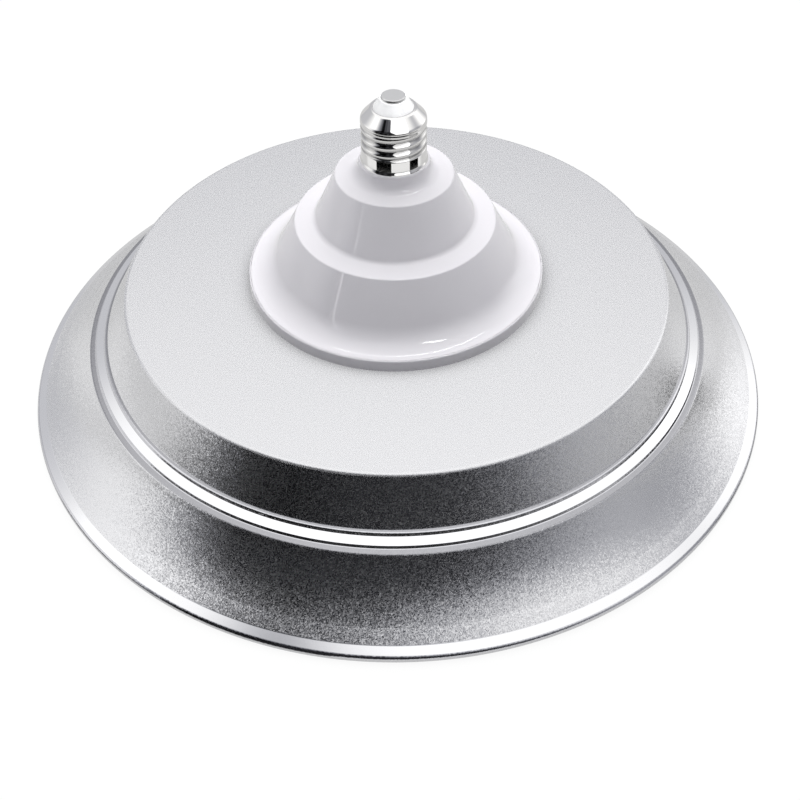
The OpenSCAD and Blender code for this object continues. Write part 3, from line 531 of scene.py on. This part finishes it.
def makeInsulator(s, crownZ):
    under = crownZ - s["wall"]
    top = crownZ + s["insulatorHeight"]
    bore, neck = s["rivet"] + s["clearance"], s["crown"] - s["clearance"]
    corners = [
        (bore, under - s["flangeThickness"], 0),
        (s["insulatorFlange"], under - s["flangeThickness"], s["flangeRounding"]),
        (s["insulatorFlange"], under, 0), (neck, under, 0),
        (neck, crownZ + s["insulatorFoot"], s["footRounding"]),
        (s["insulatorTop"], top, s["topRounding"]), (bore, top, 0),
    ]
    bm = bmesh.new()
    spinClosed(bm, corners, s["smallSegments"])
    piece = finishPiece("crownInsulator", bm, [finishes["insulator"]],
                        ["contact_insulator"])
    return piece, top


insulator, contactZ = makeInsulator(capSettings, crownZ)


def makeContact(s, contactZ, crownZ):
    end = crownZ - s["wall"] - s["flangeThickness"] - s["rivetTail"]
    top = contactZ + s["contactThickness"]
    corners = [
        (0, end, 0), (s["rivet"], end, s["rivetRounding"]), (s["rivet"], contactZ, 0),
        (s["contactRadius"], contactZ, 0), (s["contactRadius"], top, s["contactRounding"]), (0, top, 0),
    ]
    bm = bmesh.new()
    spinClosed(bm, corners, s["smallSegments"])
    finishPiece("contactDisc", bm, [finishes["contact"]], ["contact_button"])


makeContact(capSettings, contactZ, crownZ)

# CAD nodes that stay, with their finishes: colour, roughness, metallic and grain size in mm
keptFinishes = {
    "flange_seal": ("clear silicone", "#D5D5D8", 0.4, 0.0, 1.0),
    "cover_seal": ("clear silicone", "#D5D5D8", 0.4, 0.0, 1.0),
    "assembly_screws": ("zinc-plated steel", "#C9CACC", 0.28, 1.0, 0.7),
    "driver_screws": ("zinc-plated steel", "#C9CACC", 0.28, 1.0, 0.7),
    "screw_washers": ("pressed fibre washer", "#DDD8C8", 0.7, 0.0, 0.4),
    "wire_grommet": ("black rubber", "#2A2A2B", 0.6, 0.0, 0.8),
    "thermal_pad": ("filled silicone pad", "#8C95A0", 0.75, 0.0, 0.6),
    "led_board": ("white solder mask", "#F0F0EA", 0.35, 0.0, 1.4),
    "led_chips": ("phosphor resin", "#F2DC6A", 0.35, 0.0, 0.5),
    "wire_terminal": ("ivory polyamide", "#E4E1D6", 0.5, 0.0, 0.8),
    "driver_board": ("green solder mask", "#0E4A2A", 0.35, 0.0, 1.2),
    "input_capacitor": ("shrunk vinyl sleeve", "#1A1D26", 0.3, 0.0, 2.0),
    "output_capacitor": ("shrunk vinyl sleeve", "#1A1D26", 0.3, 0.0, 2.0),
    "transformer_core": ("sintered ferrite", "#33343A", 0.7, 0.0, 0.5),
    "filter_choke": ("sintered ferrite", "#33343A", 0.7, 0.0, 0.5),
    "transformer_bobbin": ("black moulded resin", "#1E1E20", 0.5, 0.0, 0.7),
    "transformer_winding": ("amber polyester tape", "#C79A2A", 0.3, 0.0, 2.2),
    "film_capacitor": ("dipped amber epoxy", "#B0791D", 0.4, 0.0, 1.2),
    "bridge_rectifier": ("black moulded resin", "#1E1E20", 0.5, 0.0, 0.7),
    "varistor": ("dipped blue epoxy", "#1F4C8C", 0.4, 0.0, 1.2),
    "fuse": ("clear fuse glass", "#D8DCDA", 0.1, 0.0, 2.0),
    "control_chip": ("black moulded resin", "#1E1E20", 0.5, 0.0, 0.7),
    "power_transistor": ("black moulded resin", "#1E1E20", 0.5, 0.0, 0.7),
    "output_diode": ("black moulded resin", "#1E1E20", 0.5, 0.0, 0.7),
    "live_lead": ("red wire insulation", "#A01C1C", 0.4, 0.0, 1.0),
    "positive_lead": ("red wire insulation", "#A01C1C", 0.4, 0.0, 1.0),
    "neutral_lead": ("blue wire insulation", "#1C3F9A", 0.4, 0.0, 1.0),
    "negative_lead": ("black wire insulation", "#202022", 0.4, 0.0, 1.0),
}
madeFinishes = {}
for node, (name, colour, roughness, metallic, size) in keptFinishes.items():
    if name not in madeFinishes:
        madeFinishes[name] = plainFinish(name, colour, roughness, metallic, size)
    mesh = frame["nodes"][node].data
    mesh.materials.clear()
    mesh.materials.append(madeFinishes[name])
coverMesh = frame["nodes"]["diffuser_cover"].data
coverMesh.materials.clear()
coverMesh.materials.append(finishes["opal"])
print("kept nodes finished")

# Studio: a white floor and room with a softbox overhead. What is dark in the photograph's metal
# is a black flag in front, so flags and dimmed walls are there for glossy rays alone. A pair of
# numbers is where a change starts and ends, in degrees or mm, and a panel is its middle, its half
# width and the light it adds
studioSettings = {
    "floorSize": 6000.0, "floorColour": "#FFFFFF", "floorGlow": 0.92, "floorGloss": 0.69,
    "ringGloss": 0.95, "ringSides": (95.0, 112.0), "dimTint": (0.87, 0.89, 1.0, 1.0),
    "ambient": 0.205, "softboxGain": 2.45, "softboxTilt": 28.0, "softboxEdge": (0.55, 0.93),
    "wallLevels": (0.63, 1.16), "wallHeights": (28.0, 46.0),
    "ceilingGain": 0.14, "ceilingHeights": (56.0, 72.0),
    "flagCentre": -35.0, "flagReach": (48.0, 134.0), "flagFoot": 5.0, "flagTop": 100.0,
    "flagEdge": (0.45, 0.85), "flagUpperEdge": (63.0, 72.0), "flagTilt": 0.13, "flagStart": (240.0, 270.0),
    "flagGreys": (0.0, 0.05), "flagGreyReach": (-35.0, 35.0),
    "foldScale": 7.0, "foldReach": (0.45, 0.65), "foldGlow": 0.07,
    "leftPanel": (-90.0, 32.0, 0.5), "rightPanel": (120.0, 30.0, 0.75), "rightShade": (88.0, 32.0, -0.2),
    "panelHeights": (38.0, 50.0), "backCorners": (150.0, 20.0, -0.04), "cornerHeights": (2.0, 24.0),
    "boards": ((-35.5, 26.5), (72.0, 17.5)), "boardStart": (172.0, 177.0), "boardReach": (232.0, 240.0),
}


# The settings of a soft change from low to high, between start and end
def softChange(start, end, low=0.0, high=1.0):
    return {"interpolation_type": "SMOOTHSTEP",
            "From Min": start, "From Max": end, "To Min": low, "To Max": high}


def bareMaterial(name):
    material = bpy.data.materials.new(name)
    material.use_nodes = True
    tree = material.node_tree
    tree.nodes.remove(tree.nodes["Principled BSDF"])
    return material, tree, tree.nodes["Material Output"].inputs["Surface"]


# Azimuth from the front, positive to the right, and height, both in degrees, and the way itself
def addBearings(tree, spot):
    way = addNode(tree, "ShaderNodeVectorMath", {"operation": "NORMALIZE"}, {0: spot})
    parts = addNode(tree, "ShaderNodeSeparateXYZ", {}, {0: way})
    forward = addNode(tree, "ShaderNodeMath", {"operation": "MULTIPLY", 1: -1.0}, {0: parts.outputs["Y"]})
    azimuth = addNode(tree, "ShaderNodeMath", {"operation": "ARCTAN2"}, {0: parts.outputs["X"], 1: forward})
    height = addNode(tree, "ShaderNodeMath", {"operation": "ARCSINE"}, {0: parts.outputs["Z"]})
    azimuth, height = [addNode(tree, "ShaderNodeMath", {"operation": "DEGREES"}, {0: angle})
                       for angle in (azimuth, height)]
    return azimuth, height, way


# How much of the light in front the flag takes away: all of it near its centre, less at its edges
# and on the folds of its cloth
def addFlagShare(tree, s, azimuth, height, way):
    # it leans, so its middle lies further to one side higher up
    above = addNode(tree, "ShaderNodeMath", {"operation": "MAXIMUM", 1: 0.0}, {0: height})
    offset = addNode(tree, "ShaderNodeMath", {"operation": "SUBTRACT", 1: s["flagCentre"]}, {0: azimuth})
    offset = addNode(tree, "ShaderNodeMath", {"operation": "MULTIPLY_ADD", 1: s["flagTilt"]},
                     {0: above, 2: offset})
    toLeft, toRight = [addNode(tree, "ShaderNodeMath", {"operation": "DIVIDE", 1: reach}, {0: offset})
                       for reach in (-s["flagReach"][0], s["flagReach"][1])]
    sideways = addNode(tree, "ShaderNodeMath", {"operation": "MAXIMUM"}, {0: toLeft, 1: toRight})
    # how far out on an ellipse, where 1 is its edge
    rise = addNode(tree, "ShaderNodeMath", {"operation": "SUBTRACT", 1: s["flagFoot"]}, {0: height})
    rise = addNode(tree, "ShaderNodeMath", {"operation": "MAXIMUM", 1: 0.0}, {0: rise})
    upward = addNode(tree, "ShaderNodeMath", {"operation": "DIVIDE", 1: s["flagTop"]}, {0: rise})
    place = addNode(tree, "ShaderNodeCombineXYZ", {}, {"X": sideways, "Y": upward})
    away = addNode(tree, "ShaderNodeVectorMath", {"operation": "LENGTH"}, {0: place}).outputs["Value"]
    edge = addNode(tree, "ShaderNodeMapRange", softChange(*s["flagEdge"], 1.0, 0.0), {"Value": away})
    top = addNode(tree, "ShaderNodeMapRange", softChange(*s["flagUpperEdge"], 1.0, 0.0), {"Value": height})
    share = addNode(tree, "ShaderNodeMath", {"operation": "MULTIPLY"}, {0: edge, 1: top})
    # what the cloth still gives back
    grey = addNode(tree, "ShaderNodeMapRange", {
        "From Min": s["flagGreyReach"][0], "From Max": s["flagGreyReach"][1],
        "To Min": s["flagGreys"][0], "To Max": s["flagGreys"][1]}, {"Value": azimuth})
    folds = addNode(tree, "ShaderNodeTexNoise", {"Scale": s["foldScale"], "Detail": 1.0}, {"Vector": way})
    glow = addNode(tree, "ShaderNodeMapRange", softChange(*s["foldReach"], 0.0, s["foldGlow"]),
                   {"Value": folds.outputs["Fac"]})
    grey = addNode(tree, "ShaderNodeMath", {"operation": "ADD"}, {0: grey, 1: glow})
    black = addNode(tree, "ShaderNodeMath", {"operation": "SUBTRACT", 0: 1.0}, {1: grey})
    return addNode(tree, "ShaderNodeMath", {"operation": "MULTIPLY"}, {0: share, 1: black})


# A soft panel on the wall, brightest or darkest in its middle
def addPanel(tree, azimuth, panel):
    middle, halfWidth, light = panel
    offset = addNode(tree, "ShaderNodeMath", {"operation": "SUBTRACT", 1: middle}, {0: azimuth})
    offset = addNode(tree, "ShaderNodeMath", {"operation": "ABSOLUTE"}, {0: offset})
    return addNode(tree, "ShaderNodeMapRange", softChange(0.0, halfWidth, light, 0.0), {"Value": offset})


# Whether the camera looks, also through something clear, and whether metal mirrors
def addLookers(tree):
    path = addNode(tree, "ShaderNodeLightPath")
    seen = addNode(tree, "ShaderNodeMath", {"operation": "MAXIMUM"},
                   {0: path.outputs["Is Camera Ray"], 1: path.outputs["Is Transmission Ray"]})
    return seen, path.outputs["Is Glossy Ray"]


# The camera and clear rays see a nearly white floor that keeps the shadow, and metal sees a floor
# of its own, with the flag's foot and the boards that stripe the cap
def makeFloor(s):
    material, tree, surface = bareMaterial("white studio floor")
    spot = addNode(tree, "ShaderNodeTexCoord").outputs["Object"]
    azimuth, height, way = addBearings(tree, spot)
    reach = addNode(tree, "ShaderNodeVectorMath", {"operation": "LENGTH"}, {0: spot}).outputs["Value"]
    reach = addNode(tree, "ShaderNodeMath", {"operation": "DIVIDE", 1: mm}, {0: reach})
    foot = addNode(tree, "ShaderNodeMapRange", softChange(*s["flagStart"]), {"Value": reach})
    flag = addFlagShare(tree, s, azimuth, height, way)
    flag = addNode(tree, "ShaderNodeMath", {"operation": "MULTIPLY"}, {0: flag, 1: foot})
    lit = addNode(tree, "ShaderNodeMath", {"operation": "SUBTRACT", 0: 1.0}, {1: flag})
    level = addNode(tree, "ShaderNodeMath", {"operation": "MULTIPLY", 1: s["floorGloss"]}, {0: lit})
    # the ring of floor just outside the rim, in front and at the sides
    inside = addNode(tree, "ShaderNodeMapRange", softChange(*s["boardReach"], 1.0, 0.0), {"Value": reach})
    outside = addNode(tree, "ShaderNodeMapRange", softChange(*s["boardStart"]), {"Value": reach})
    turned = addNode(tree, "ShaderNodeMath", {"operation": "ABSOLUTE"}, {0: azimuth})
    sides = addNode(tree, "ShaderNodeMapRange", softChange(*s["ringSides"], 1.0, 0.0), {"Value": turned})
    ring = addNode(tree, "ShaderNodeMath", {"operation": "MULTIPLY"}, {0: inside, 1: outside})
    ring = addNode(tree, "ShaderNodeMath", {"operation": "MULTIPLY"}, {0: ring, 1: sides})
    level = addNode(tree, "ShaderNodeMix", {"data_type": "FLOAT", 3: s["ringGloss"]}, {0: ring, 2: level})
    # two black boards that lie on the ring
    boards = [addNode(tree, "ShaderNodeMath", {"operation": "COMPARE", 1: middle, 2: half}, {0: azimuth})
              for middle, half in s["boards"]]
    board = addNode(tree, "ShaderNodeMath", {"operation": "MAXIMUM"}, {0: boards[0], 1: boards[1]})
    board = addNode(tree, "ShaderNodeMath", {"operation": "MULTIPLY"}, {0: board, 1: ring})
    free = addNode(tree, "ShaderNodeMath", {"operation": "SUBTRACT", 0: 1.0}, {1: board})
    level = addNode(tree, "ShaderNodeMath", {"operation": "MULTIPLY"}, {0: level, 1: free})
    seen, glossy = addLookers(tree)
    strength = addNode(tree, "ShaderNodeMix", {"data_type": "FLOAT", 2: 1.0}, {0: glossy, 3: level})
    share = addNode(tree, "ShaderNodeMath", {"operation": "MULTIPLY", 1: s["floorGlow"]}, {0: seen})
    share = addNode(tree, "ShaderNodeMath", {"operation": "MAXIMUM"}, {0: share, 1: glossy})
    paint = addNode(tree, "ShaderNodeBsdfDiffuse", {"Color": toLinear(s["floorColour"])})
    glow = addNode(tree, "ShaderNodeEmission", {"Color": (1, 1, 1, 1)}, {"Strength": strength})
    mix = addNode(tree, "ShaderNodeMixShader", {}, {0: share, 1: paint, 2: glow})
    tree.links.new(mix.outputs[0], surface)
    bm = bmesh.new()
    bmesh.ops.create_grid(bm, x_segments=1, y_segments=1, size=s["floorSize"] / 2 * mm)
    mesh = bpy.data.meshes.new("studioFloor")
    bm.to_mesh(mesh)
    bm.free()
    mesh.materials.append(material)
    floor = bpy.data.objects.new("studioFloor", mesh)
    bpy.context.scene.collection.objects.link(floor)


# The walls and the ceiling that metal mirrors, with the soft panels at the sides
def addWalls(tree, s, azimuth, height):
    wall = addNode(tree, "ShaderNodeMapRange", softChange(*s["wallHeights"], *s["wallLevels"]),
                   {"Value": height})
    ceiling = addNode(tree, "ShaderNodeMapRange", softChange(*s["ceilingHeights"], 0.0, s["ceilingGain"]),
                      {"Value": height})
    wall = addNode(tree, "ShaderNodeMath", {"operation": "ADD"}, {0: wall, 1: ceiling})
    turned = addNode(tree, "ShaderNodeMath", {"operation": "ABSOLUTE"}, {0: azimuth})
    corners = addPanel(tree, turned, s["backCorners"])
    low = addNode(tree, "ShaderNodeMapRange", softChange(*s["cornerHeights"], 1.0, 0.0), {"Value": height})
    corners = addNode(tree, "ShaderNodeMath", {"operation": "MULTIPLY"}, {0: corners, 1: low})
    wall = addNode(tree, "ShaderNodeMath", {"operation": "ADD"}, {0: wall, 1: corners})
    panels = addPanel(tree, azimuth, s["leftPanel"])
    for key in ("rightShade", "rightPanel"):
        panels = addNode(tree, "ShaderNodeMath", {"operation": "ADD"},
                         {0: panels, 1: addPanel(tree, azimuth, s[key])})
    low = addNode(tree, "ShaderNodeMapRange", softChange(*s["panelHeights"], 1.0, 0.0), {"Value": height})
    panels = addNode(tree, "ShaderNodeMath", {"operation": "MULTIPLY"}, {0: panels, 1: low})
    return addNode(tree, "ShaderNodeMath", {"operation": "ADD"}, {0: wall, 1: panels})


# The camera sees white, metal sees walls, panels and the flag, and the rest is lit by the softbox
def makeRoom(s):
    world = bpy.data.worlds.new("studioRoom")
    bpy.context.scene.world = world
    world.use_nodes = True
    tree = world.node_tree
    background = tree.nodes["Background"]
    world.cycles.sampling_method = "NONE"
    spot = addNode(tree, "ShaderNodeTexCoord").outputs["Generated"]
    azimuth, height, way = addBearings(tree, spot)
    tilt = math.radians(s["softboxTilt"])
    facing = addNode(tree, "ShaderNodeVectorMath", {
        "operation": "DOT_PRODUCT", 1: (0, math.sin(tilt), math.cos(tilt))}, {0: spot}).outputs["Value"]
    soft = addNode(tree, "ShaderNodeMapRange", softChange(*s["softboxEdge"], 0.0, s["softboxGain"]),
                   {"Value": facing})
    soft = addNode(tree, "ShaderNodeMath", {"operation": "ADD", 1: s["ambient"]}, {0: soft})
    flag = addFlagShare(tree, s, azimuth, height, way)
    lit = addNode(tree, "ShaderNodeMath", {"operation": "SUBTRACT", 0: 1.0}, {1: flag})
    gloss = addNode(tree, "ShaderNodeMath", {"operation": "MULTIPLY"},
                    {0: addWalls(tree, s, azimuth, height), 1: lit})
    seen, glossy = addLookers(tree)
    level = addNode(tree, "ShaderNodeMix", {"data_type": "FLOAT"}, {0: glossy, 2: soft, 3: gloss})
    level = addNode(tree, "ShaderNodeMix", {"data_type": "FLOAT", 3: 1.0}, {0: seen, 2: level})
    # the dim parts of the room are a little bluer
    bright = addNode(tree, "ShaderNodeMath", {"operation": "MINIMUM", 1: 1.0}, {0: level})
    tint = addNode(tree, "ShaderNodeMix", {"data_type": "RGBA", 6: s["dimTint"], 7: (1, 1, 1, 1)},
                   {0: bright})
    tree.links.new(tint.outputs[2], background.inputs["Color"])
    tree.links.new(level.outputs[0], background.inputs["Strength"])


# Small softboxes that give the cap and the housing their highlights: azimuth and height of the
# middle in degrees as seen from the lamp, distance, width and length upward in mm, power in watts
stripSettings = {
    "capStrip": {"azimuth": 27.0, "height": 36.0, "away": 1600.0,
                 "width": 1380.0, "tall": 2300.0, "power": 13.5},
    "topStrip": {"azimuth": 170.0, "height": 66.0, "away": 1500.0,
                 "width": 900.0, "tall": 30.0, "power": 1.7},
    "leftStrip": {"azimuth": -54.0, "height": 22.0, "away": 1600.0,
                  "width": 60.0, "tall": 1200.0, "power": 0.6},
    "spotStrip": {"azimuth": 52.0, "height": 69.0, "away": 1500.0,
                  "width": 300.0, "tall": 110.0, "power": 1.6},
}


def makeStrip(name, s, receivers):
    lampData = bpy.data.lights.new(name, "AREA")
    lampData.shape = "RECTANGLE"
    lampData.size, lampData.size_y = s["width"] * mm, s["tall"] * mm
    lampData.energy = s["power"]
    lamp = bpy.data.objects.new(name, lampData)
    bearing, height = math.radians(s["azimuth"]), math.radians(s["height"])
    level, rise = s["away"] * math.cos(height), s["away"] * math.sin(height)
    lamp.location = Vector((level * math.sin(bearing), -level * math.cos(bearing), rise)) * mm
    lamp.rotation_euler = (math.pi / 2 - height, 0, bearing)
    bpy.context.scene.collection.objects.link(lamp)
    lit = bpy.data.collections.new(name + "Lit")
    for piece in receivers:
        lit.objects.link(piece)
    lamp.light_linking.receiver_collection = lit


makeFloor(studioSettings)
makeRoom(studioSettings)
for name, settings in stripSettings.items():
    makeStrip(name, settings, [shell, insulator] if name == "capStrip" else [housing])
# The lamp doesn't mirror itself: the photograph's satin metal shows only the room
for piece in bpy.context.scene.objects:
    if piece.type == "MESH" and piece.name != "studioFloor":
        piece.visible_glossy = False
print("studio set")
